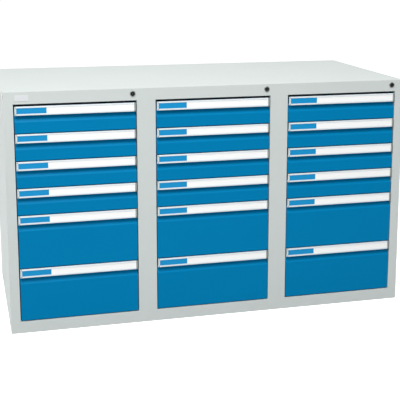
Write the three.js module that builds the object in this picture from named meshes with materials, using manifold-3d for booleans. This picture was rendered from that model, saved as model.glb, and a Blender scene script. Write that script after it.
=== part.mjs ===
// Industrial drawer cabinet: a sheet-steel housing with three bays of six drawers, handle rails with
// label windows, runner racks, and one central lock with a hooked bar for each bay.
// Millimetres, +Z up, +X to the right seen from the front, +Y to the back. The origin is the centre of
// the whole outline, at floor level.
import * as THREE from 'three'
import { mergeVertices } from 'three/addons/utils/BufferGeometryUtils.js'
import Module from 'manifold-3d'

const wasm = await Module()
wasm.setup()

// Bays and openings
const bay_count = 3
const opening_width = 442
const outer_stile_width = 35
const inner_stile_width = 70
const bottom_rail_height = 44
const top_rail_height = 44
const housing_depth = 736

// Drawers in one bay from the top down, each in height units
const drawer_units = [1, 1, 1, 1, 2, 2]
const unit_height = 100
const first_gap = 8
const front_gap = 3

// Sheet metal
const sheet = 1.5
const base_sheet = 2
const partition_sheet = 2
const seam_gap = 0.3
const weld_overlap = 0.5
const cut_overrun = 1
const stile_return_depth = 18

// Drawer front: flat face, slanted finger recess below the handle, upright strip behind the handle
const front_setback = 1
const front_side_gap = 2.5
const front_depth = 20
const front_lip_height = 12
const recess_height = 22
const recess_shelf_rise = 5

// Drawer tray
const tray_side_gap = 21
const tray_length = 640
const tray_lift = 4
const tray_drop = 18
const tray_rim_width = 6

// Handle rail
const handle_height = 32
const handle_proud = 4
const handle_end_gap = 4
const handle_wall = 2
const handle_upper_lip = 5
const handle_lower_lip = 6
const label_recess = 1.5
const grip_depth = 8
const grip_rise = 7

// Runners: fixed C-shaped rail on the rack, slide member on the tray
const rail_height = 30
const rail_lift = 8
const rail_side_gap = 2
const rail_depth = 15
const rail_start = 44
const rail_rear_gap = 28
const slide_start_gap = 3
const slide_play = 0.3
const slide_side_play = 0.5
const rack_start = 60

// Central lock
const lock_edge_gap = 15
const lock_rise = 25
const lock_collar_radius = 10.5
const lock_collar_proud = 2.5
const lock_body_radius = 9
const lock_body_length = 20
const lock_nut_radius = 12.5
const lock_nut_thickness = 4
const lock_nut_sides = 6
const plug_radius = 7
const plug_proud = 0.5
const running_gap = 0.3
const key_slot_width = 1.4
const key_slot_length = 8
const key_slot_depth = 5
const crank_radius = 11
const crank_rest_angle = Math.PI / 4
const crank_arm_width = 7
const crank_arm_thickness = 3
const crank_arm_gap = 2
const crank_pin_radius = 2.5
const crank_pin_length = 7
const round_sides = 24
const grid_steps = 1024
const merge_tolerance = 0.01

// Lock bar, its yoke, hooks and guides, and the catch on each drawer
const bar_side_gap = 3
const bar_thickness = 3
const bar_front_gap = 2.5
const bar_width = 20
const yoke_thickness = 3
const yoke_gap = 2.5
const yoke_wall = 3.5
const yoke_slot_play = 0.5
const hook_height = 6
const hook_thickness = 3
const hook_reach = 10
const hook_front_gap = 3
const hook_flange_gap = 0.8
const catch_height = 6
const catch_thickness = 4
const catch_gap = 1.5
const catch_end_gap = 3
const guide_gap = 0.4
const guide_wall = 1.5
const guide_height = 12
const guide_drop = 15

// Bare plate at the left end of the top rail
const plate_width = 48
const plate_height = 22
const plate_thickness = 0.8
const plate_edge_gap = 6

// Derived sizes
const stack_height = unit_height * drawer_units.reduce((sum, units) => sum + units, 0)
const opening_height = stack_height + first_gap
const opening_top = bottom_rail_height + opening_height
const total_height = opening_top + top_rail_height
const bay_pitch = opening_width + inner_stile_width
const bays_width = bay_count * opening_width + (bay_count - 1) * inner_stile_width
const total_width = bays_width + 2 * outer_stile_width
const total_depth = housing_depth + handle_proud
const half_opening = opening_width / 2
const half_width = total_width / 2
const first_bay_x = -half_width + outer_stile_width + half_opening
const panel_front = sheet + seam_gap
const panel_rear = housing_depth - sheet - seam_gap
const panel_top = total_height - sheet - seam_gap
const front_rear = front_setback + front_depth
const half_front = half_opening - front_side_gap
const half_tray = half_opening - tray_side_gap
const tray_front = front_rear - weld_overlap
const tray_rear = tray_front + tray_length
const rail_back = half_opening - rail_side_gap
const rail_end = housing_depth - sheet - rail_rear_gap
const lock_x = half_opening - lock_edge_gap
const lock_z = opening_top + lock_rise
const lock_travel = 2 * crank_radius * Math.sin(crank_rest_angle)
const crank_pin_x = lock_x + crank_radius * Math.cos(crank_rest_angle)
const crank_pin_z = lock_z + crank_radius * Math.sin(crank_rest_angle)
const crank_front = lock_body_length + crank_arm_gap
const bar_inner = half_opening + bar_side_gap
const bar_outer = bar_inner + bar_thickness
const bar_front = stile_return_depth + bar_front_gap
const bar_rear = bar_front + bar_width
const half_slide = rail_height / 2 - sheet - slide_play
const hook_free_rise = half_slide - sheet - hook_flange_gap - hook_height / 2
const catch_rise = hook_free_rise - lock_travel
const hook_front = front_rear + hook_front_gap
const catch_front = hook_front + hook_thickness + catch_gap

// Materials
const housing_paint = new THREE.MeshStandardMaterial({ color: 0xd3d8d7, roughness: 0.55, metalness: 0.1 })
const front_paint = new THREE.MeshStandardMaterial({ color: 0x0079b4, roughness: 0.5, metalness: 0.1 })
const rail_aluminium = new THREE.MeshStandardMaterial({ color: 0xe6e8ea, roughness: 0.35, metalness: 0.7 })
const zinc_steel = new THREE.MeshStandardMaterial({ color: 0xb4b8ba, roughness: 0.4, metalness: 0.8 })
const lock_black = new THREE.MeshStandardMaterial({ color: 0x1c1d1f, roughness: 0.4, metalness: 0.3 })
const lock_nickel = new THREE.MeshStandardMaterial({ color: 0xc2c4c6, roughness: 0.25, metalness: 0.9 })
const plate_white = new THREE.MeshStandardMaterial({ color: 0xf2f3f3, roughness: 0.5, metalness: 0 })

for (const material of [housing_paint, front_paint, rail_aluminium, zinc_steel, lock_black, lock_nickel,
  plate_white]) {
  material.flatShading = true
}

// A closed geometry as a solid that can be joined and cut. Its corners sit on a fine grid, so that
// faces drawn to the same value lie in exactly the same plane.
function solidOf(geometry) {
  const bare = geometry.index ? geometry.toNonIndexed() : geometry.clone()
  bare.deleteAttribute('normal')
  bare.deleteAttribute('uv')
  const corners = bare.attributes.position.array
  corners.forEach((value, index) => {
    corners[index] = Math.round(value * grid_steps) / grid_steps
  })
  const merged = mergeVertices(bare)
  return new wasm.Manifold(new wasm.Mesh({
    numProp: 3,
    vertProperties: new Float32Array(merged.attributes.position.array),
    triVerts: new Uint32Array(merged.index.array),
  }))
}

// The finished solid as a geometry, with the flat faces of its pieces merged where they meet
function geometryOf(solid) {
  const mesh = solid.asOriginal().simplify(merge_tolerance).getMesh()
  const geometry = new THREE.BufferGeometry()
  geometry.setAttribute('position', new THREE.BufferAttribute(new Float32Array(mesh.vertProperties), 3))
  geometry.setIndex(new THREE.BufferAttribute(new Uint32Array(mesh.triVerts), 1))
  geometry.computeVertexNormals()
  return geometry
}

// A box between two values on each axis, in either order
function block(xs, ys, zs) {
  const spans = [xs, ys, zs].map(([a, b]) => Math.abs(b - a))
  const middles = [xs, ys, zs].map(([a, b]) => (a + b) / 2)
  return solidOf(new THREE.BoxGeometry(...spans).translate(...middles))
}

// A section in the Y-Z plane, drawn out along X
function extrudeAlongX(section, x_from, x_to) {
  const shape = new THREE.Shape(section.map(([y, z]) => new THREE.Vector2(y, z)))
  const geometry = new THREE.ExtrudeGeometry(shape, { depth: x_to - x_from, bevelEnabled: false })
  const turn = new THREE.Matrix4().makeBasis(
    new THREE.Vector3(0, 1, 0), new THREE.Vector3(0, 0, 1), new THREE.Vector3(1, 0, 0))
  return solidOf(geometry.applyMatrix4(turn).translate(x_from, 0, 0))
}

// A round bar along Y
function rod(radius, y_from, y_to, x, z, sides = round_sides) {
  const geometry = new THREE.CylinderGeometry(radius, radius, y_to - y_from, sides)
  return solidOf(geometry.translate(x, (y_from + y_to) / 2, z))
}

function joined(solids) {
  return solids.reduce((sum, solid) => sum.add(solid).asOriginal())
}

function meshOf(name, solid, material) {
  const mesh = new THREE.Mesh(geometryOf(solid), material)
  mesh.name = name
  return mesh
}

// Height of the top edge of each front, counted from the floor
function frontTops() {
  const tops = []
  let top = opening_top - first_gap
  for (const units of drawer_units) {
    tops.push(top)
    top -= units * unit_height
  }
  return tops
}

// Lower edge of the front, tray floor and rail centre, counted down from the front's top edge
const frontBottom = units => front_gap - units * unit_height
const trayFloor = units => frontBottom(units) + tray_lift
const railCentre = units => trayFloor(units) + rail_lift + rail_height / 2

const bayX = bay => first_bay_x + bay * bay_pitch

// Front frame: one plate with three openings, folded back around each, and the lock holes
function frontFrame() {
  let frame = block([-half_width, half_width], [0, sheet], [0, total_height])
  for (let bay = 0; bay < bay_count; bay += 1) {
    const x = bayX(bay)
    const fold = block([x - half_opening - sheet, x + half_opening + sheet], [0, stile_return_depth],
      [bottom_rail_height - sheet, opening_top + sheet])
    const opening = block([x - half_opening, x + half_opening],
      [-cut_overrun, stile_return_depth + cut_overrun], [bottom_rail_height, opening_top])
    const hole = rod(lock_body_radius + running_gap, -cut_overrun, sheet + cut_overrun, x + lock_x, lock_z)
    frame = frame.add(fold).subtract(opening).subtract(hole)
  }
  return frame
}

// Fixed C-shaped rail, opening towards the drawer, with a stop at its rear end
function fixedRail(side, centre_z) {
  const half = rail_height / 2
  const inner = rail_back - rail_depth
  const web = block([side * (rail_back - sheet), side * (rail_back + weld_overlap)], [rail_start, rail_end],
    [centre_z - half, centre_z + half])
  const upper = block([side * inner, side * rail_back], [rail_start, rail_end],
    [centre_z + half - sheet, centre_z + half])
  const lower = block([side * inner, side * rail_back], [rail_start, rail_end],
    [centre_z - half, centre_z - half + sheet])
  const stop = block([side * inner, side * rail_back], [rail_end - sheet, rail_end],
    [centre_z - half, centre_z + half])
  return joined([web, upper, lower, stop])
}

// Guide around the lock bar, on the rack's front flange
function barGuide(z) {
  const guide = block([bar_inner - guide_gap - guide_wall, bar_outer + guide_gap + guide_wall],
    [bar_front - guide_gap - guide_wall, rack_start + weld_overlap], [z, z + guide_height])
  const channel = block([bar_inner - guide_gap, bar_outer + guide_gap],
    [bar_front - guide_gap, bar_rear + guide_gap], [z - cut_overrun, z + guide_height + cut_overrun])
  return guide.subtract(channel)
}

// Runner rack: folded wall with two flanges that reach the housing wall, and one rail for each drawer
function runnerRack(side, wall_face) {
  const bottom = base_sheet + seam_gap
  const reach = wall_face - seam_gap
  const plate = block([side * rail_back, side * (rail_back + sheet)], [rack_start, rail_end],
    [bottom, opening_top])
  const front_flange = block([side * rail_back, side * reach], [rack_start, rack_start + sheet],
    [bottom, opening_top])
  const rear_flange = block([side * rail_back, side * reach], [rail_end - sheet, rail_end],
    [bottom, opening_top])
  const tops = frontTops()
  const rails = drawer_units.map((units, row) => fixedRail(side, tops[row] + railCentre(units)))
  const guides = side > 0 ? [tops[0], tops[tops.length - 1]].map(top => barGuide(top - guide_drop)) : []
  return joined([plate, front_flange, rear_flange, ...rails, ...guides])
}

// Drawer: folded front with its finger recess, open tray, slide members and catch, welded together.
// Its zero height is the front's top edge.
function drawer(units) {
  const bottom = frontBottom(units)
  const bend = -handle_height - recess_height
  const shelf = -handle_height + recess_shelf_rise
  const top = -handle_wall - seam_gap
  const outline = [
    [front_rear, bottom],
    [front_setback, bottom],
    [front_setback, bend],
    [front_rear - sheet, shelf],
    [front_rear - sheet, top],
    [front_rear, top],
  ]
  const fold = [
    [front_rear, shelf],
    [front_setback + sheet, bend],
    [front_setback + sheet, bottom + sheet],
    [front_rear - sheet, bottom + sheet],
    [front_rear - sheet, bottom + front_lip_height],
    [front_rear, bottom + front_lip_height],
  ]
  const face = extrudeAlongX([...outline, ...fold], -half_front, half_front)
  const left_end = extrudeAlongX(outline, -half_front, -half_front + sheet)
  const right_end = extrudeAlongX(outline, half_front - sheet, half_front)

  const floor = trayFloor(units)
  const rim = -tray_drop
  const tray_walls = block([-half_tray, half_tray], [tray_front, tray_rear], [floor, rim])
  const tray_space = block([sheet - half_tray, half_tray - sheet], [tray_front + sheet, tray_rear - sheet],
    [floor + sheet, rim + cut_overrun])
  const pieces = [face, left_end, right_end, tray_walls.subtract(tray_space)]

  const centre = railCentre(units)
  const slide_tip = rail_back - sheet - slide_side_play
  const slide_start = rail_start + slide_start_gap
  const tray_skin = half_tray - weld_overlap
  for (const side of [-1, 1]) {
    const rim_fold = block([side * tray_skin, side * (half_tray + tray_rim_width)],
      [tray_front, tray_rear], [rim - sheet, rim])
    const web = block([side * tray_skin, side * (half_tray + sheet)], [slide_start, tray_rear],
      [centre - half_slide, centre + half_slide])
    const upper = block([side * tray_skin, side * slide_tip], [slide_start, tray_rear],
      [centre + half_slide - sheet, centre + half_slide])
    const lower = block([side * tray_skin, side * slide_tip], [slide_start, tray_rear],
      [centre - half_slide, centre - half_slide + sheet])
    pieces.push(rim_fold, web, upper, lower)
  }
  const catch_centre = centre + catch_rise
  pieces.push(block([tray_skin, half_opening - catch_end_gap], [catch_front, catch_front + catch_thickness],
    [catch_centre - catch_height / 2, catch_centre + catch_height / 2]))
  return joined(pieces)
}

// Handle rail: label recess between two lips, top flange over the front, grip lip below
function handleRail() {
  const face = -handle_proud
  const window_face = face + label_recess
  const back = window_face + handle_wall
  const grip = face + grip_depth
  const half = half_opening - handle_end_gap
  return extrudeAlongX([
    [face, 0],
    [face, -handle_upper_lip],
    [window_face, -handle_upper_lip],
    [window_face, handle_lower_lip - handle_height],
    [face, handle_lower_lip - handle_height],
    [face, -handle_height],
    [grip, -handle_height],
    [grip, grip_rise - handle_height],
    [grip - handle_wall, grip_rise - handle_height],
    [grip - handle_wall, handle_wall - handle_height],
    [back, handle_wall - handle_height],
    [back, -handle_wall],
    [front_rear, -handle_wall],
    [front_rear, 0],
  ], -half, half)
}

// Lock housing: collar in front of the frame, body through it, nut behind it
function lockHousing() {
  const collar = rod(lock_collar_radius, -lock_collar_proud, 0, lock_x, lock_z)
  const body = rod(lock_body_radius, -weld_overlap, lock_body_length, lock_x, lock_z)
  const nut_front = sheet + seam_gap
  const nut = rod(lock_nut_radius, nut_front, nut_front + lock_nut_thickness, lock_x, lock_z, lock_nut_sides)
  const bore = rod(plug_radius + running_gap, -lock_collar_proud - cut_overrun,
    lock_body_length + cut_overrun, lock_x, lock_z)
  return joined([collar, body, nut]).subtract(bore)
}

// Lock plug: key slot in front, crank arm and pin behind
function lockPlug() {
  const face = -lock_collar_proud - plug_proud
  const arm_back = crank_front + crank_arm_thickness
  const core = rod(plug_radius, face, arm_back, lock_x, lock_z)
  const slot = block([lock_x - key_slot_width / 2, lock_x + key_slot_width / 2],
    [face - cut_overrun, face + key_slot_depth],
    [lock_z - key_slot_length / 2, lock_z + key_slot_length / 2])
  const arm_shape = new THREE.BoxGeometry(crank_radius, crank_arm_thickness, crank_arm_width)
  arm_shape.translate(crank_radius / 2, 0, 0)
  arm_shape.rotateY(-crank_rest_angle)
  arm_shape.translate(lock_x, crank_front + crank_arm_thickness / 2, lock_z)
  const arm_end = rod(crank_arm_width / 2, crank_front, arm_back, crank_pin_x, crank_pin_z)
  const pin = rod(crank_pin_radius, crank_front, arm_back + crank_pin_length, crank_pin_x, crank_pin_z)
  return joined([core.subtract(slot), solidOf(arm_shape), arm_end, pin])
}

// Lock bar: flat bar with one hook for each drawer and a slotted yoke around the crank pin. The hooks
// hang between the flanges of the slide members, above the catches at rest and before them when locked.
function lockBar() {
  const yoke_front = crank_front + crank_arm_thickness + yoke_gap
  const slot_half = crank_pin_radius + yoke_slot_play
  const yoke_half = slot_half + yoke_wall
  const slot_left = crank_pin_x - slot_half
  const slot_right = lock_x + crank_radius + slot_half
  const yoke_top = crank_pin_z + yoke_half
  const bar = block([bar_inner, bar_outer], [bar_front, bar_rear], [bottom_rail_height, yoke_top])
  const yoke = block([slot_left - yoke_wall, bar_inner + weld_overlap],
    [yoke_front, yoke_front + yoke_thickness], [crank_pin_z - yoke_half, yoke_top])
  const slot = block([slot_left, slot_right],
    [yoke_front - cut_overrun, yoke_front + yoke_thickness + cut_overrun],
    [crank_pin_z - slot_half, crank_pin_z + slot_half])
  const tops = frontTops()
  const hooks = drawer_units.map((units, row) => {
    const centre = tops[row] + railCentre(units) + hook_free_rise
    return block([bar_inner - hook_reach, bar_inner + weld_overlap], [hook_front, hook_front + hook_thickness],
      [centre - hook_height / 2, centre + hook_height / 2])
  })
  return joined([bar, yoke.subtract(slot), ...hooks])
}

const cabinet = new THREE.Group()
const housing = new THREE.Group()
cabinet.add(housing)
housing.position.y = handle_proud - total_depth / 2

function addPanel(name, xs, ys, zs, material = housing_paint) {
  housing.add(meshOf(name, block(xs, ys, zs), material))
}

housing.add(meshOf('front_frame', frontFrame(), housing_paint))
addPanel('left_side_panel', [-half_width, sheet - half_width], [panel_front, panel_rear], [0, panel_top])
addPanel('right_side_panel', [half_width - sheet, half_width], [panel_front, panel_rear], [0, panel_top])
addPanel('top_panel', [-half_width, half_width], [panel_front, housing_depth],
  [total_height - sheet, total_height])
addPanel('back_panel', [-half_width, half_width], [housing_depth - sheet, housing_depth], [0, panel_top])
const base_half = half_width - sheet - seam_gap
addPanel('base_panel', [-base_half, base_half], [panel_front, panel_rear], [0, base_sheet])
for (let bay = 0; bay < bay_count - 1; bay += 1) {
  const x = bayX(bay) + bay_pitch / 2
  addPanel(`partition_${bay + 1}`, [x - partition_sheet / 2, x + partition_sheet / 2],
    [panel_front, panel_rear], [base_sheet + seam_gap, panel_top])
}

const drawer_shapes = new Map()
for (const units of new Set(drawer_units)) {
  drawer_shapes.set(units, geometryOf(drawer(units)))
}
const handle_shape = geometryOf(handleRail())
const bar_shape = geometryOf(lockBar())
const plug_shape = geometryOf(lockPlug())
const lock_shape = geometryOf(lockHousing())

function addCopy(group, name, shape, material, z = 0) {
  const mesh = new THREE.Mesh(shape, material)
  mesh.name = name
  mesh.position.z = z
  group.add(mesh)
}

for (let bay = 0; bay < bay_count; bay += 1) {
  const number = bay + 1
  const group = new THREE.Group()
  group.position.x = bayX(bay)
  housing.add(group)
  const inner_face = (bay_pitch - partition_sheet) / 2
  const outer_face = half_opening + outer_stile_width - sheet
  const left_face = bay === 0 ? outer_face : inner_face
  const right_face = bay === bay_count - 1 ? outer_face : inner_face
  group.add(meshOf(`runner_rack_left_${number}`, runnerRack(-1, left_face), zinc_steel))
  group.add(meshOf(`runner_rack_right_${number}`, runnerRack(1, right_face), zinc_steel))
  addCopy(group, `lock_housing_${number}`, lock_shape, lock_nickel)
  addCopy(group, `lock_plug_${number}`, plug_shape, lock_black)
  addCopy(group, `lock_bar_${number}`, bar_shape, zinc_steel)
  frontTops().forEach((top, row) => {
    const place = `${number}_${row + 1}`
    addCopy(group, `drawer_${place}`, drawer_shapes.get(drawer_units[row]), front_paint, top)
    addCopy(group, `handle_${place}`, handle_shape, rail_aluminium, top)
  })
}

const plate_left = outer_stile_width - half_width + plate_edge_gap
const plate_middle = opening_top + top_rail_height / 2
addPanel('name_plate', [plate_left, plate_left + plate_width], [-plate_thickness - seam_gap, -seam_gap],
  [plate_middle - plate_height / 2, plate_middle + plate_height / 2], plate_white)

export default cabinet
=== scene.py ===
"""Industrial drawer cabinet: grey sheet-steel housing with three bays of six blue drawers, pale handle
rails with label windows, zinc-plated runner racks, and one cylinder lock over each bay."""
import math

import bmesh
import bpy
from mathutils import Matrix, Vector


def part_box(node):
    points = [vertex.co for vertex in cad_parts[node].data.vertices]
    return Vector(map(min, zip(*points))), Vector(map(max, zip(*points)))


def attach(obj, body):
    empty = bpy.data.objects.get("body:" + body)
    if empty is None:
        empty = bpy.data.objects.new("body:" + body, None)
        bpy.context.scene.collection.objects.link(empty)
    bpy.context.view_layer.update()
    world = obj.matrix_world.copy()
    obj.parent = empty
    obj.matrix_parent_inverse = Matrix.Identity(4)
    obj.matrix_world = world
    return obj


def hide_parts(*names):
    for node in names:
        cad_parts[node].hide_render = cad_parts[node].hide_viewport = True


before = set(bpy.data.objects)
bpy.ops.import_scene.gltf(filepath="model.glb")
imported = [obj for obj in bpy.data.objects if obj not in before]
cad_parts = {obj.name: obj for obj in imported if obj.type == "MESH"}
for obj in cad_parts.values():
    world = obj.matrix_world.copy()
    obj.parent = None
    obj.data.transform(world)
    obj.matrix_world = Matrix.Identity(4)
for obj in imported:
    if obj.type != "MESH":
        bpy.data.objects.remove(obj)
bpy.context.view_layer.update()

front_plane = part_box("front_frame")[0].y

# Layout
bay_count = 3
row_count = 6

# Sheet metal
sheet = 0.0015
stile_return_depth = 0.018
frame_bend = 0.0016
frame_edge = 0.0004
frame_edge_angle = math.radians(60)
panel_rounding = 0.0006
plate_rounding = 0.00028
seam_gap = 0.0003

# Steps of a bend, of a full turn and of a broken edge, and the profile of a round bevel
arc_steps = 4
round_steps = 48
edge_steps = 2
round_profile = 0.5

# Edges that turn by more than the sharp angle are creases, and faces within the flat angle are one face.
# Points nearer than the merge distance are one point, and the contact gap parts bodies that would share some.
sharp_angle = math.radians(38)
flat_angle = math.radians(1)
merge_distance = 0.000001
contact_gap = 0.00002

# Drawer front
front_setback = 0.001
first_gap = 0.008
front_gap = 0.003
front_side_gap = 0.0025
front_end_trim = 0.0005
front_depth = 0.020
front_lip_height = 0.012
front_rear = front_setback + front_depth
recess_height = 0.0245
recess_shelf_rise = 0.005
lip_bend = 0.002
bottom_bend = 0.002
recess_bend = 0.002
shelf_bend = 0.003
top_fold_reach = 0.004
top_fold_drop = 0.0005
top_fold_bend = 0.001
end_rounding = 0.001

# Tray and slide members
tray_side_gap = 0.021
tray_length = 0.640
tray_lift = 0.004
tray_drop = 0.018
tray_rim_width = 0.006
tray_bend = 0.002
rim_bend = 0.0015
end_wall_rounding = 0.000375
weld_overlap = 0.0005
rail_height = 0.030
rail_lift = 0.008
rail_side_gap = 0.002
slide_start = 0.047
slide_play = 0.0003
slide_side_play = 0.0005
slide_bend = 0.0018
catch_front = 0.0285
catch_thickness = 0.004
catch_height = 0.006
catch_end_gap = 0.003
catch_drop = 0.007656
catch_rounding = 0.0006

# Handle rail, its end caps and its label strip
handle_height = 0.032
handle_proud = 0.004
handle_wall = 0.002
upper_lip = 0.005
lower_lip = 0.006
label_recess = 0.0015
grip_depth = 0.008
grip_rise = 0.007
left_cap_width = 0.0065
right_cap_width = 0.006
cap_rounding = 0.0006
cap_setback = 0.0003
# Small dark pins in each cap, painted shadow of the cap's top and bottom edges
shadow_mark_radius = 0.0013
shadow_mark_sides = 16
shadow_mark_inset = 0.0022
shadow_mark_proud = 0.0002
shadow_mark_depth = 0.001
label_thickness = 0.0005
label_rounding = 0.00017
label_play = 0.0003
blue_card_width = 0.1055

# Corner radii of the handle rail's section, in the order of its corners
face_round = 0.0012
lip_round = 0.0004
window_round = 0.0002
foot_round = 0.0015
grip_round = 0.0008
wall_round = 0.0004

# Material numbers within the end caps and within the label strip
left_cap = 0
right_cap = 1
# The caps' dark pins are painted shadow
cap_shadow_mark = 2
white_part = 0
blue_part = 1

# Locks
collar_radius = 0.0105
collar_proud = 0.0025
collar_rounding = 0.0014
body_radius = 0.009
body_length = 0.020
bore_radius = 0.0073
bore_rounding = 0.0009
nut_radius = 0.0125
nut_sides = 6
nut_thickness = 0.004
nut_rounding = 0.0004
thread_start = 0.002
thread_pitch = 0.0015
thread_depth = 0.0006
plug_edge = 0.00025
plug_edge_angle = math.radians(50)

# Colours are given as display values: the brightest one, and the power that turns a value into light
display_white = 255
display_gamma = 2.2

# Most of a noise texture lies between these two values
noise_low = 0.3
noise_high = 0.7

# Floor and backdrop
floor_reach = 60
floor_drop = 0.0005
floor_bounce = 0.42
floor_white = 0.8
floor_glow = 0.7
sky_strength = 0.42
backdrop_strength = 1.05

# Soft lamps: place, the point each one faces, width, height, power, and whether gloss mirrors the lamp.
# The key lights the front and the top from above, and the fill opens up the shadows on the front. The
# others stand behind the front plane, so that they light the top, the sides and the back alone.
lamps = {
    "key": ((-1.3, -2.55, 4.6), (0, -0.2, 0.5), 1.6, 2.6, 208, True),
    "fill": ((-0.5, -4.4, 0.6), (0, -0.37, 0.5), 2.8, 1.2, 28, False),
    "top": ((0.5, 1, 4.2), (0.2, 0.2, 0.9), 2.4, 1.2, 36, True),
    "left": ((-4, 0.6, 0.5), (-0.77, 0.1, 0.45), 2, 0.7, 70, True),
    "right": ((4, 0.8, 0.5), (0.77, 0.1, 0.45), 2, 0.7, 70, True),
    "back": ((0.4, 4.4, 0.5), (0, 0.37, 0.45), 3, 0.7, 90, True),
}

# Camera: place, turn in degrees, lens and film width in millimetres, shift and reach
camera_place = (-0.9171, -3.8151, 1.3739)
camera_turn = (79.1771, -0.2139, -15.2155)
camera_lens = 87.22
film_width = 36
camera_shift = (-0.05, -0.15)
camera_reach = 200


# Sections: outlines in a plane, made of points


def arc_corner(corner, before, after, radius):
    """Points of the arc that replaces a corner of a section."""
    to_before = (before - corner).normalized()
    to_after = (after - corner).normalized()
    half_angle = to_before.angle(to_after) / 2
    middle = (to_before + to_after).normalized()
    centre = corner + middle * (radius / math.sin(half_angle))
    start = corner + to_before * (radius / math.tan(half_angle)) - centre
    end = corner + to_after * (radius / math.tan(half_angle)) - centre
    turn = start.angle_signed(end)
    points = []
    for step in range(arc_steps + 1):
        angle = -turn * step / arc_steps
        cosine, sine = math.cos(angle), math.sin(angle)
        turned = Vector((start.x * cosine - start.y * sine, start.x * sine + start.y * cosine))
        points.append(centre + turned)
    return points


def rounded(points, radii, closed):
    """A section with an arc in place of each corner that has a radius."""
    result = []
    last = len(points) - 1
    for index, (point, radius) in enumerate(zip(points, radii)):
        if not radius or (not closed and index in (0, last)):
            result.append(point)
            continue
        after = points[(index + 1) % len(points)]
        result.extend(arc_corner(point, points[index - 1], after, radius))
    return result


def offset(points, distance, closed):
    """The section's points moved to the left of its course by a distance."""
    moved = []
    count = len(points)
    for index, point in enumerate(points):
        sides = []
        if closed or index > 0:
            sides.append((point - points[index - 1]).normalized())
        if closed or index < count - 1:
            sides.append((points[(index + 1) % count] - point).normalized())
        normals = [Vector((-side.y, side.x)) for side in sides]
        mean = sum(normals, Vector((0, 0))).normalized()
        moved.append(point + mean * (distance / mean.dot(normals[0])))
    return moved


def sheet_section(path, thickness):
    """A folded sheet's closed section, from the course of one of its faces."""
    return path + offset(path, thickness, closed=False)[::-1]


def rectangle(u_low, u_high, v_low, v_high, radius=0):
    """Corners of a rectangle, counter-clockwise, or their arcs where it has a radius."""
    corners = [(u_low, v_low), (u_high, v_low), (u_high, v_high), (u_low, v_high)]
    return rounded([Vector(corner) for corner in corners], [radius] * len(corners), closed=True)


def regular(centre, radius, corners, turn=0.0):
    """Corners of a regular polygon that faces along Y."""
    angles = [turn + 2 * math.pi * corner / corners for corner in range(corners)]
    return [Vector((centre.x + radius * math.cos(angle), centre.z + radius * math.sin(angle)))
            for angle in angles]


def area_of(points):
    """A closed section's area, below zero if its course is clockwise."""
    return sum(a.cross(b) for a, b in zip(points, points[1:] + points[:1])) / 2


def along_x(point, distance):
    """Where a point of a section lies that is swept along X."""
    return (distance, point.x, point.y)


def along_y(point, distance):
    """Where a point of a section lies that is swept along Y."""
    return (point.x, distance, point.y)


def along_z(point, distance):
    """Where a point of a section lies that is swept along Z."""
    return (point.x, point.y, distance)


# Bodies: sections swept or turned into closed shapes


def loft(shape, stations, place, material=0):
    """Skin over sections with equal point counts, closed at both ends."""
    rings = [[shape.verts.new(place(point, distance)) for point in section] for section, distance in stations]
    faces = [shape.faces.new(rings[0]), shape.faces.new(rings[-1])]
    for ring, following in zip(rings, rings[1:]):
        for index, corner in enumerate(ring):
            beside = (index + 1) % len(ring)
            faces.append(shape.faces.new((corner, ring[beside], following[beside], following[index])))
    for face in faces:
        face.material_index = material
        face.smooth = True


def sweep(shape, section, start, end, place, material=0):
    """A section swept straight on, with plain ends."""
    loft(shape, [(section, start), (section, end)], place, material)


def rounded_end(section, end, rounding):
    """Stations from an end face, over its rounded edge, to the full section. The rounding is below zero
    where the body lies on the lower side of its end."""
    inward = math.copysign(rounding, area_of(section))
    stations = []
    for step in range(arc_steps + 1):
        angle = math.pi / 2 * step / arc_steps
        inset = inward * (1 - math.sin(angle))
        stations.append((offset(section, inset, closed=True), end + rounding * (1 - math.cos(angle))))
    return stations


def soft_sweep(shape, section, start, end, place, rounding, material=0):
    """A sweep whose two end faces have rounded edges."""
    first = rounded_end(section, start, rounding)
    last = rounded_end(section, end, -rounding)
    loft(shape, first + last[::-1], place, material)


def soft_end(shape, outline, inner, outer, rounding, material=0):
    """An end plate whose outer edge is rounded."""
    last = rounded_end(outline, outer, math.copysign(rounding, inner - outer))
    loft(shape, [(outline, inner)] + last[::-1], along_x, material)


def soft_block(shape, low, high, rounding, material=0):
    """A plate or bar with rounded edges between two corners. It is swept along its thinnest side."""
    spans = [high[axis] - low[axis] for axis in range(3)]
    thin = spans.index(min(spans))
    others = [axis for axis in range(3) if axis != thin]
    section = rectangle(low[others[0]], high[others[0]], low[others[1]], high[others[1]], rounding)
    place = (along_x, along_y, along_z)[thin]
    soft_sweep(shape, section, low[thin], high[thin], place, rounding, material)


def revolve(shape, profile, centre):
    """A round body about an axis along Y, from a closed profile of (radius, y) points."""
    rings = []
    for step in range(round_steps):
        angle = 2 * math.pi * step / round_steps
        across, up = math.cos(angle), math.sin(angle)
        rings.append([shape.verts.new((centre.x + radius * across, y, centre.z + radius * up))
                      for radius, y in profile])
    for ring, following in zip(rings, rings[1:] + rings[:1]):
        for index, corner in enumerate(ring):
            beside = (index + 1) % len(ring)
            face = shape.faces.new((corner, ring[beside], following[beside], following[index]))
            face.smooth = True


def finish_shape(shape):
    """Joins the points that lie on each other, turns the faces outwards and marks the creases."""
    bmesh.ops.remove_doubles(shape, verts=shape.verts, dist=merge_distance)
    bmesh.ops.recalc_face_normals(shape, faces=shape.faces)
    for edge in shape.edges:
        if edge.calc_face_angle(0) > sharp_angle:
            edge.smooth = False


# Materials. Their textures run in the object's own coordinates.


def linear(red, green, blue):
    """A colour given in display values, as the shader wants it."""
    return tuple((value / display_white) ** display_gamma for value in (red, green, blue))


def shade(colour, factor):
    """The colour made darker or lighter."""
    return tuple(channel * factor for channel in colour)


def material_of(name):
    """A new material and its shader."""
    material = bpy.data.materials.new(name)
    material.use_nodes = True
    return material, material.node_tree.nodes["Principled BSDF"]


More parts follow.
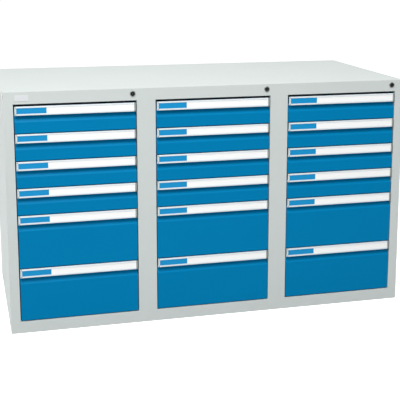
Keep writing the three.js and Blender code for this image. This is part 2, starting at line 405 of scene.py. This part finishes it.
def join(material, output, shader, socket):
    """Links an output to one of the shader's sockets."""
    material.node_tree.links.new(output, shader.inputs[socket])


def noise(material, scale, detail=2.0, stretch=(1, 1, 1)):
    """A cloudy factor."""
    tree = material.node_tree
    place = tree.nodes.new("ShaderNodeTexCoord")
    mapping = tree.nodes.new("ShaderNodeMapping")
    mapping.inputs["Scale"].default_value = stretch
    tree.links.new(place.outputs["Object"], mapping.inputs["Vector"])
    texture = tree.nodes.new("ShaderNodeTexNoise")
    texture.inputs["Scale"].default_value = scale
    texture.inputs["Detail"].default_value = detail
    tree.links.new(mapping.outputs["Vector"], texture.inputs["Vector"])
    return texture.outputs["Fac"]


def crystals(material, scale):
    """Three factors, each one even within a crystal patch."""
    tree = material.node_tree
    place = tree.nodes.new("ShaderNodeTexCoord")
    patches = tree.nodes.new("ShaderNodeTexVoronoi")
    patches.inputs["Scale"].default_value = scale
    tree.links.new(place.outputs["Object"], patches.inputs["Vector"])
    split = tree.nodes.new("ShaderNodeSeparateColor")
    tree.links.new(patches.outputs["Color"], split.inputs["Color"])
    return split.outputs["Red"], split.outputs["Green"], split.outputs["Blue"]


def blend(material, factor, first, second):
    """A colour between two colours, by a factor."""
    tree = material.node_tree
    mix = tree.nodes.new("ShaderNodeMix")
    mix.data_type = "RGBA"
    tree.links.new(factor, mix.inputs["Factor"])
    for socket, value in (("A", first), ("B", second)):
        target = next(s for s in mix.inputs if s.name == socket and s.type == "RGBA")
        if isinstance(value, bpy.types.NodeSocket):
            tree.links.new(value, target)
        else:
            target.default_value = (*value, 1)
    return next(s for s in mix.outputs if s.type == "RGBA")


def between(material, factor, low, high, from_low=noise_low, from_high=noise_high):
    """A factor spread over a range of values."""
    tree = material.node_tree
    spread = tree.nodes.new("ShaderNodeMapRange")
    for socket, value in (("From Min", from_low), ("From Max", from_high), ("To Min", low), ("To Max", high)):
        spread.inputs[socket].default_value = value
    tree.links.new(factor, spread.inputs["Value"])
    return spread.outputs["Result"]


def bump(material, height, distance, strength=1.0, over=None):
    """A normal from a height, laid over another normal if there is one."""
    tree = material.node_tree
    node = tree.nodes.new("ShaderNodeBump")
    node.inputs["Strength"].default_value = strength
    node.inputs["Distance"].default_value = distance
    tree.links.new(height, node.inputs["Height"])
    if over is not None:
        tree.links.new(over, node.inputs["Normal"])
    return node.outputs["Normal"]


def tinted(material, factor, colour, dark, light):
    """The colour, running from a darker to a lighter share of itself."""
    share = between(material, factor, low=0, high=1)
    return blend(material, share, shade(colour, dark), shade(colour, light))


def roughen(material, factor, shader, smooth, coarse):
    """Roughness that runs from a smooth to a coarse value."""
    join(material, between(material, factor, smooth, coarse), shader, "Roughness")


def powder_coat(name, colour, roughness, gloss, wave):
    """Baked powder paint: a fine even grain, a slow change of tone, and slightly wavy sheet."""
    material, shader = material_of(name)
    slow = tinted(material, noise(material, scale=5, detail=3), colour, dark=0.975, light=1.015)
    fine = tinted(material, noise(material, scale=420), colour, dark=0.97, light=1.02)
    half = between(material, noise(material, scale=30), low=0.35, high=0.65)
    join(material, blend(material, half, slow, fine), shader, "Base Color")
    patches = noise(material, scale=70, detail=3)
    roughen(material, patches, shader, smooth=roughness - 0.05, coarse=roughness + 0.05)
    waves = bump(material, noise(material, scale=2.2, detail=1), distance=wave)
    peel = bump(material, noise(material, scale=650), distance=0.00004, strength=0.5, over=waves)
    join(material, peel, shader, "Normal")
    shader.inputs["Specular IOR Level"].default_value = gloss
    return material


def anodised(name, colour, roughness, metallic):
    """Drawn aluminium, anodised: fine streaks along the rail."""
    material, shader = material_of(name)
    streaks = noise(material, scale=900, detail=3, stretch=(0.012, 1, 1))
    join(material, tinted(material, streaks, colour, dark=0.94, light=1.02), shader, "Base Color")
    roughen(material, streaks, shader, smooth=roughness - 0.06, coarse=roughness + 0.08)
    join(material, bump(material, streaks, distance=0.00002, strength=0.4), shader, "Normal")
    shader.inputs["Metallic"].default_value = metallic
    return material


def galvanised(name, colour, roughness, metallic):
    """Zinc-plated steel: flat crystal patches of slightly different tone."""
    material, shader = material_of(name)
    tone, polish, tilt = crystals(material, scale=95)
    patchy = blend(material, tone, shade(colour, factor=0.86), shade(colour, factor=1.06))
    cloud = between(material, noise(material, scale=9, detail=3), low=0, high=1)
    join(material, blend(material, cloud, patchy, shade(colour, factor=0.95)), shader, "Base Color")
    rough = between(material, polish, low=roughness - 0.07, high=roughness + 0.09, from_low=0, from_high=1)
    join(material, rough, shader, "Roughness")
    join(material, bump(material, tilt, distance=0.00001, strength=0.3), shader, "Normal")
    shader.inputs["Metallic"].default_value = metallic
    return material


def card(name, colour):
    """Printed card under a clear film: a faint fibre, and a smooth coat."""
    material, shader = material_of(name)
    fibre = noise(material, scale=1500, detail=4, stretch=(0.35, 1, 1))
    join(material, tinted(material, fibre, colour, dark=0.97, light=1), shader, "Base Color")
    film = noise(material, scale=14)
    roughen(material, film, shader, smooth=0.34, coarse=0.42)
    join(material, bump(material, film, distance=0.00008, strength=0.5), shader, "Normal")
    shader.inputs["Specular IOR Level"].default_value = 0.3
    shader.inputs["Coat Weight"].default_value = 0.1
    shader.inputs["Coat Roughness"].default_value = 0.12
    return material


def moulded(name, colour, roughness):
    """Moulded plastic: a light spark-eroded grain."""
    material, shader = material_of(name)
    grain = noise(material, scale=1100)
    join(material, tinted(material, grain, colour, dark=0.95, light=1.03), shader, "Base Color")
    patches = noise(material, scale=120)
    roughen(material, patches, shader, smooth=roughness - 0.05, coarse=roughness + 0.06)
    join(material, bump(material, grain, distance=0.00003, strength=0.5), shader, "Normal")
    shader.inputs["Specular IOR Level"].default_value = 0.4
    return material


def plated(name, colour, roughness, metallic):
    """Plated or blacked metal, with faint marks along its axis."""
    material, shader = material_of(name)
    marks = noise(material, scale=700, detail=3, stretch=(1, 0.1, 1))
    join(material, tinted(material, marks, colour, dark=0.9, light=1.05), shader, "Base Color")
    roughen(material, marks, shader, smooth=roughness - 0.04, coarse=roughness + 0.06)
    join(material, bump(material, marks, distance=0.00001, strength=0.4), shader, "Normal")
    shader.inputs["Metallic"].default_value = metallic
    return material


housing_paint = powder_coat("housing_powder_coat", linear(200, 207, 205), roughness=0.5, gloss=0.2,
                            wave=0.0008)
front_paint = powder_coat("front_powder_coat", linear(0, 121, 172), roughness=0.42, gloss=0.04, wave=0.0003)
tray_zinc = galvanised("tray_galvanised", linear(196, 200, 202), roughness=0.4, metallic=0.85)
rack_zinc = galvanised("rack_galvanised", linear(186, 190, 193), roughness=0.42, metallic=0.85)
rail_aluminium = anodised("rail_anodised", linear(232, 240, 243), roughness=0.36, metallic=0.1)
white_card = card("white_card", linear(252, 253, 252))
blue_card = card("blue_card", linear(0, 142, 201))
pale_plastic = moulded("pale_end_plastic", linear(205, 216, 216), roughness=0.45)
# The right cap is coloured darker than the left one
darker_cap_plastic = moulded("darker_right_end_plastic", linear(150, 156, 152), roughness=0.45)
# Painted shadow: the dark pins' plastic stands for the shade at the caps' edges
shadow_mark_plastic = moulded("painted_shadow_marks", linear(46, 50, 52), roughness=0.5)
lock_black = plated("lock_blacked", linear(26, 28, 28), roughness=0.4, metallic=0.1)
lock_nickel = plated("lock_nickel", linear(158, 161, 161), roughness=0.28, metallic=0.8)
plate_enamel = moulded("plate_white", linear(214, 217, 219), roughness=0.4)

# The inner solids keep their shape and get a material, by the start of their names
inner_materials = {"runner_rack": rack_zinc, "lock_bar": rack_zinc, "partition": housing_paint}
for node_name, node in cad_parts.items():
    for start, material in inner_materials.items():
        if node_name.startswith(start):
            node.data.materials.clear()
            node.data.materials.append(material)


# Pieces


def object_of(name, shape, materials):
    """The shape as an object in the scene."""
    mesh = bpy.data.meshes.new(name)
    shape.to_mesh(mesh)
    shape.free()
    for material in materials:
        mesh.materials.append(material)
    made = bpy.data.objects.new(name, mesh)
    bpy.context.scene.collection.objects.link(made)
    return made


def break_edges(piece, width, angle):
    """Breaks the edges that turn by more than an angle."""
    bevel = piece.modifiers.new("edges", "BEVEL")
    bevel.width = width
    bevel.segments = edge_steps
    bevel.limit_method = "ANGLE"
    bevel.angle_limit = angle


def seat(piece, body, stands_for=()):
    """Shades a piece, sets it on its body and lets it stand for the solids that it replaces."""
    weighted = piece.modifiers.new("shading", "WEIGHTED_NORMAL")
    weighted.keep_sharp = True
    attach(piece, body)
    if stands_for:
        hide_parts(*stands_for)


def add_piece(name, shape, materials, body, stands_for=()):
    """The shape as a piece on its body."""
    seat(object_of(name, shape, materials), body, stands_for)


# Drawers. Each shape's zero height is the top of the drawer's handle rail.


def front_shape(bottom, half_front):
    """Folded drawer front: bottom flange with its lip, face, slanted finger recess, and strip behind the
    handle, closed by an end plate at each side."""
    bend = -handle_height - recess_height
    shelf = -handle_height + recess_shelf_rise
    top = -handle_wall - seam_gap
    fold = -top_fold_drop - sheet
    course = [
        Vector((front_rear, bottom + front_lip_height)),
        Vector((front_rear, bottom)),
        Vector((front_setback, bottom)),
        Vector((front_setback, bend)),
        Vector((front_rear - sheet, shelf)),
    ]
    radii = [0, lip_bend, bottom_bend, recess_bend, shelf_bend]
    path = rounded(course + [Vector((front_rear - sheet, fold)), Vector((top_fold_reach, fold))],
                   radii + [top_fold_bend, 0], closed=False)
    shape = bmesh.new()
    inner = half_front - sheet
    sweep(shape, sheet_section(path, -sheet), contact_gap - inner, inner - contact_gap, along_x)
    end_course = course[1:] + [Vector((front_rear - sheet, top)), Vector((front_rear, top))]
    end_outline = rounded(end_course, [0, *radii[2:], 0, 0], closed=False)
    for side in (-1, 1):
        soft_end(shape, end_outline, side * inner, side * half_front, end_rounding)
    finish_shape(shape)
    return shape


def tray_shape(bottom, half_opening):
    """Open tray with folded rims, slide members along both sides, and the catch for the lock bar."""
    half_tray = half_opening - tray_side_gap
    floor = bottom + tray_lift
    rim = -tray_drop
    tray_front = front_rear - weld_overlap
    tray_rear = tray_front + tray_length
    inside = half_tray - sheet
    rim_end = half_tray + tray_rim_width
    course = [
        Vector((-rim_end, rim)),
        Vector((-inside, rim)),
        Vector((-inside, floor + sheet)),
        Vector((inside, floor + sheet)),
        Vector((inside, rim)),
        Vector((rim_end, rim)),
    ]
    path = rounded(course, [0, rim_bend, tray_bend, tray_bend, rim_bend, 0], closed=False)
    shape = bmesh.new()
    sweep(shape, sheet_section(path, -sheet), tray_front, tray_rear, along_y)
    for start in (tray_front, tray_rear - sheet):
        soft_block(shape, (-inside, start, floor), (inside, start + sheet, rim), end_wall_rounding)

    centre = floor + rail_lift + rail_height / 2
    half_slide = rail_height / 2 - sheet - slide_play
    slide_tip = half_opening - rail_side_gap - sheet - slide_side_play
    for side in (-1, 1):
        course = [
            Vector((side * slide_tip, centre + half_slide)),
            Vector((side * half_tray, centre + half_slide)),
            Vector((side * half_tray, centre - half_slide)),
            Vector((side * slide_tip, centre - half_slide)),
        ]
        path = rounded(course, [0, slide_bend, slide_bend, 0], closed=False)
        sweep(shape, sheet_section(path, side * sheet), slide_start, tray_rear, along_y)
    catch_centre = centre - catch_drop
    soft_block(shape, (half_tray - weld_overlap, catch_front, catch_centre - catch_height / 2),
               (half_opening - catch_end_gap, catch_front + catch_thickness, catch_centre + catch_height / 2),
               catch_rounding)
    finish_shape(shape)
    return shape


def handle_section(window):
    """The handle rail's section, with the label window or filled."""
    face = -handle_proud
    window_face = face + label_recess
    back = window_face + handle_wall
    grip = face + grip_depth
    recess = [
        ((face, -upper_lip), lip_round),
        ((window_face, -upper_lip), window_round),
        ((window_face, lower_lip - handle_height), window_round),
        ((face, lower_lip - handle_height), lip_round),
    ]
    if not window:
        face += cap_setback
        recess = []
    outline = [
        ((face, 0), face_round),
        *recess,
        ((face, -handle_height), foot_round),
        ((grip, -handle_height), grip_round),
        ((grip, grip_rise - handle_height), grip_round),
        ((grip - handle_wall, grip_rise - handle_height), grip_round),
        ((grip - handle_wall, handle_wall - handle_height), wall_round),
        ((back, handle_wall - handle_height), wall_round),
        ((back, -handle_wall), wall_round),
        ((top_fold_reach, -handle_wall), wall_round),
        ((top_fold_reach, 0), grip_round),
    ]
    corners, radii = zip(*outline)
    return rounded([Vector(corner) for corner in corners], radii, closed=True)


def rail_shape(half_handle):
    """The handle rail between its end caps."""
    shape = bmesh.new()
    section = handle_section(window=True)
    sweep(shape, section, left_cap_width - half_handle, half_handle - right_cap_width, along_x)
    finish_shape(shape)
    return shape


def caps_shape(half_handle):
    """Plastic end caps of the rail, each with two small dark pins that paint the shadow at the cap's top and
    bottom edges.
    """
    shape = bmesh.new()
    section = handle_section(window=False)
    front = cap_setback - handle_proud
    for side, width, material in ((-1, left_cap_width, left_cap), (1, right_cap_width, right_cap)):
        inner = side * (half_handle - width)
        soft_end(shape, section, inner, side * half_handle, cap_rounding, material)
        # Two dark pins at the cap's top and bottom edges, as painted shadow
        for height in (-shadow_mark_inset - shadow_mark_radius, shadow_mark_inset + shadow_mark_radius - handle_height):
            centre = Vector((inner + side * shadow_mark_inset, 0, height))
            shadow_mark = regular(centre, shadow_mark_radius, shadow_mark_sides)
            sweep(shape, shadow_mark, front - shadow_mark_proud, front + shadow_mark_depth, along_y, cap_shadow_mark)
    finish_shape(shape)
    return shape


def label_shape(half_handle):
    """Label strip in the rail's window: a blue card at the left, and bare white card over the rest."""
    shape = bmesh.new()
    back = label_recess - handle_proud
    front = back - label_thickness
    low = lower_lip - handle_height + label_play
    high = -upper_lip - label_play
    left = left_cap_width - half_handle + label_play
    right = half_handle - right_cap_width - label_play
    split = left + blue_card_width
    soft_block(shape, (left, front, low), (split, back, high), label_rounding, blue_part)
    soft_block(shape, (split + contact_gap, front, low), (right, back, high), label_rounding, white_part)
    finish_shape(shape)
    return shape


def add_drawer(number):
    """The pieces of one drawer, in the place of its two solids."""
    body = f"drawer_{number}"
    handle = f"handle_{number}"
    drawer_low, drawer_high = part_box(body)
    handle_low, handle_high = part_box(handle)
    middle = (handle_low.x + handle_high.x) / 2
    top = handle_high.z
    bottom = drawer_low.z - top
    half_handle = (handle_high.x - handle_low.x) / 2
    half_front = (drawer_high.x - drawer_low.x) / 2
    front = front_shape(bottom, half_front - front_end_trim)
    tray = tray_shape(bottom, half_front + front_side_gap)
    rail = rail_shape(half_handle)
    label = label_shape(half_handle)
    caps = caps_shape(half_handle)
    parts = [
        ("drawer_front", front, [front_paint], "front_paint", [body]),
        ("drawer_tray", tray, [tray_zinc], "zinc_steel", [body]),
        ("handle_rail", rail, [rail_aluminium], "handle_aluminium", [handle]),
        ("label_strip", label, [white_card, blue_card], "label_strip", []),
        ("end_caps", caps, [pale_plastic, darker_cap_plastic, shadow_mark_plastic], "end_cap", []),
    ]
    for name, shape, materials, slot, stands_for in parts:
        bmesh.ops.translate(shape, verts=shape.verts, vec=(middle, front_plane, top))
        add_piece(f"{name}_{number}", shape, materials, body, stands_for)


for bay in range(1, bay_count + 1):
    for row in range(1, row_count + 1):
        add_drawer(f"{bay}_{row}")


# Housing


def block_over(node_name, rounding):
    """A block with rounded edges in the place of a solid."""
    shape = bmesh.new()
    soft_block(shape, *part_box(node_name), rounding)
    finish_shape(shape)
    return shape


def frame_shape():
    """Front frame: one sheet with three openings, each edge of an opening folded back."""
    low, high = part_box("front_frame")
    opening_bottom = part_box(f"drawer_1_{row_count}")[0].z - front_gap
    opening_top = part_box("handle_1_1")[1].z + first_gap
    xs = [low.x]
    for bay in range(1, bay_count + 1):
        drawer_low, drawer_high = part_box(f"drawer_{bay}_1")
        xs += [drawer_low.x - front_side_gap, drawer_high.x + front_side_gap]
    xs.append(high.x)
    zs = [low.z, opening_bottom, opening_top, high.z]
    shape = bmesh.new()
    grid = [[shape.verts.new((x, low.y, z)) for z in zs] for x in xs]
    for column in range(len(xs) - 1):
        for level in range(len(zs) - 1):
            is_opening = column % 2 == 1 and level == 1
            if is_opening:
                continue
            beside = grid[column + 1]
            shape.faces.new((grid[column][level], beside[level], beside[level + 1], grid[column][level + 1]))
    rims = []
    for column in range(1, len(xs) - 1, 2):
        corners = [grid[column][1], grid[column + 1][1], grid[column + 1][2], grid[column][2]]
        rims += [shape.edges.get((a, b)) for a, b in zip(corners, corners[1:] + corners[:1])]
    shape.edges.index_update()
    folded = bmesh.ops.extrude_edge_only(shape, edges=rims)["geom"]
    verts = [item for item in folded if isinstance(item, bmesh.types.BMVert)]
    bmesh.ops.translate(shape, verts=verts, vec=(0, stile_return_depth, 0))
    bmesh.ops.bevel(shape, geom=rims, offset=frame_bend, segments=arc_steps, profile=round_profile,
                    affect="EDGES", clamp_overlap=False)
    bmesh.ops.recalc_face_normals(shape, faces=shape.faces)

    # The faces look to the front and into the openings, and the sheet gets its thickness behind them
    facing = sum(face.normal.y * face.calc_area() for face in shape.faces)
    if facing > 0:
        bmesh.ops.reverse_faces(shape, faces=shape.faces)
    for face in shape.faces:
        face.smooth = True
    return shape


def add_frame():
    """The front frame as a sheet with broken edges."""
    piece = object_of("front_frame_sheet", frame_shape(), [housing_paint])
    thicken = piece.modifiers.new("thickness", "SOLIDIFY")
    thicken.thickness = sheet
    thicken.offset = -1
    thicken.use_even_offset = True
    break_edges(piece, frame_edge, frame_edge_angle)
    seat(piece, "housing", ["front_frame"])


for name in ("left_side_panel", "right_side_panel", "top_panel", "back_panel", "base_panel"):
    panel = block_over(name, panel_rounding)
    add_piece(f"{name}_sheet", panel, [housing_paint], "housing", [name])
add_piece("bare_plate", block_over("name_plate", plate_rounding), [plate_enamel], "housing",
          ["name_plate"])
add_frame()


# Locks


def barrel_shape(centre):
    """Lock barrel: collar with a rounded rim and a bore, threaded body, and the nut behind the sheet."""
    rim = front_plane - collar_proud
    rear = front_plane + body_length
    collar = [
        Vector((bore_radius, rear)),
        Vector((bore_radius, rim)),
        Vector((collar_radius, rim)),
        Vector((collar_radius, front_plane)),
        Vector((body_radius, front_plane)),
    ]
    profile = rounded(collar, [0, bore_rounding, collar_rounding, 0, 0], closed=False)
    y = front_plane + thread_start
    while y + thread_pitch < rear:
        profile.append((body_radius, y))
        profile.append((body_radius - thread_depth, y + thread_pitch / 2))
        y += thread_pitch
    profile.append((body_radius - thread_depth, rear))
    shape = bmesh.new()
    revolve(shape, profile, centre)
    nut = regular(centre, nut_radius, nut_sides, turn=math.pi / nut_sides)
    nut_front = front_plane + sheet + seam_gap
    soft_sweep(shape, nut, nut_front, nut_front + nut_thickness, along_y, nut_rounding)
    finish_shape(shape)
    return shape


def plug_shape(solid):
    """The plug's own solid with its flat faces made whole, ready for broken edges."""
    shape = bmesh.new()
    shape.from_mesh(solid)
    bmesh.ops.remove_doubles(shape, verts=shape.verts, dist=merge_distance)
    bmesh.ops.dissolve_limit(shape, angle_limit=flat_angle, verts=shape.verts, edges=shape.edges)
    for face in shape.faces:
        face.smooth = True
    finish_shape(shape)
    return shape


def add_lock(bay):
    """The barrel in the housing, and the cylinder that turns in it."""
    barrel_name = f"lock_housing_{bay}"
    plug_name = f"lock_plug_{bay}"
    low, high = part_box(barrel_name)
    barrel = barrel_shape((low + high) / 2)
    add_piece(f"lock_barrel_{bay}", barrel, [lock_nickel], "housing", [barrel_name])
    plug = plug_shape(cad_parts[plug_name].data)
    cylinder = object_of(f"lock_cylinder_{bay}", plug, [lock_black])
    break_edges(cylinder, plug_edge, plug_edge_angle)
    seat(cylinder, plug_name, [plug_name])


for bay in range(1, bay_count + 1):
    add_lock(bay)


# Floor, backdrop and lamps


def seen_directly(tree):
    """1 for what is seen directly, 0 for what lights the object or is mirrored in it."""
    return tree.nodes.new("ShaderNodeLightPath").outputs["Is Camera Ray"]


def paper_floor():
    """White paper floor, lit from below where it is seen and dimmer where it only reflects light upwards."""
    material = bpy.data.materials.new("pale_floor")
    material.use_nodes = True
    tree = material.node_tree
    tree.nodes.clear()
    dim = tree.nodes.new("ShaderNodeBsdfDiffuse")
    dim.inputs["Color"].default_value = (floor_bounce, floor_bounce, floor_bounce, 1)
    pale = tree.nodes.new("ShaderNodeBsdfDiffuse")
    pale.inputs["Color"].default_value = (floor_white, floor_white, floor_white, 1)
    glow = tree.nodes.new("ShaderNodeEmission")
    glow.inputs["Strength"].default_value = floor_glow
    both = tree.nodes.new("ShaderNodeAddShader")
    choose = tree.nodes.new("ShaderNodeMixShader")
    output = tree.nodes.new("ShaderNodeOutputMaterial")
    tree.links.new(pale.outputs["BSDF"], both.inputs[0])
    tree.links.new(glow.outputs["Emission"], both.inputs[1])
    tree.links.new(seen_directly(tree), choose.inputs["Fac"])
    tree.links.new(dim.outputs["BSDF"], choose.inputs[1])
    tree.links.new(both.outputs["Shader"], choose.inputs[2])
    tree.links.new(choose.outputs["Shader"], output.inputs["Surface"])
    return material


def add_floor():
    """A wide floor, just below the housing."""
    shape = bmesh.new()
    corners = rectangle(-floor_reach, floor_reach, -floor_reach, floor_reach)
    shape.faces.new([shape.verts.new(along_z(corner, -floor_drop)) for corner in corners])
    object_of("floor", shape, [paper_floor()])


def add_sky():
    """A white backdrop where the sky is seen, and a dimmer sky that lights the object."""
    world = bpy.data.worlds.new("studio")
    bpy.context.scene.world = world
    world.use_nodes = True
    tree = world.node_tree
    sky = tree.nodes["Background"]
    backdrop = tree.nodes.new("ShaderNodeBackground")
    for node, strength in ((sky, sky_strength), (backdrop, backdrop_strength)):
        node.inputs["Color"].default_value = (1, 1, 1, 1)
        node.inputs["Strength"].default_value = strength
    choose = tree.nodes.new("ShaderNodeMixShader")
    tree.links.new(seen_directly(tree), choose.inputs["Fac"])
    tree.links.new(sky.outputs["Background"], choose.inputs[1])
    tree.links.new(backdrop.outputs["Background"], choose.inputs[2])
    tree.links.new(choose.outputs["Shader"], tree.nodes["World Output"].inputs["Surface"])


def add_softbox(name, place, target, width, height, power, mirrored):
    """A rectangular lamp that faces a point and isn't seen itself."""
    light = bpy.data.lights.new(name, "AREA")
    light.shape = "RECTANGLE"
    light.size = width
    light.size_y = height
    light.energy = power
    lamp = bpy.data.objects.new(name, light)
    lamp.location = place
    lamp.visible_camera = False
    lamp.visible_glossy = mirrored
    lamp.rotation_euler = (Vector(place) - Vector(target)).to_track_quat("Z", "Y").to_euler()
    bpy.context.scene.collection.objects.link(lamp)


add_floor()
add_sky()
for name, lamp in lamps.items():
    add_softbox(name, *lamp)


# Camera, and how its picture is shown


def add_camera():
    """The camera of the main view."""
    data = bpy.data.cameras.new("camera")
    data.sensor_fit = "HORIZONTAL"
    data.sensor_width = film_width
    data.lens = camera_lens
    data.shift_x, data.shift_y = camera_shift
    data.clip_end = camera_reach
    camera = bpy.data.objects.new("camera", data)
    camera.location = camera_place
    camera.rotation_euler = tuple(math.radians(angle) for angle in camera_turn)
    bpy.context.scene.collection.objects.link(camera)
    bpy.context.scene.camera = camera


view = bpy.context.scene.view_settings
view.view_transform = "Standard"
view.look = "None"
view.exposure = 0
view.gamma = 1
add_camera()

bpy.context.view_layer.update()
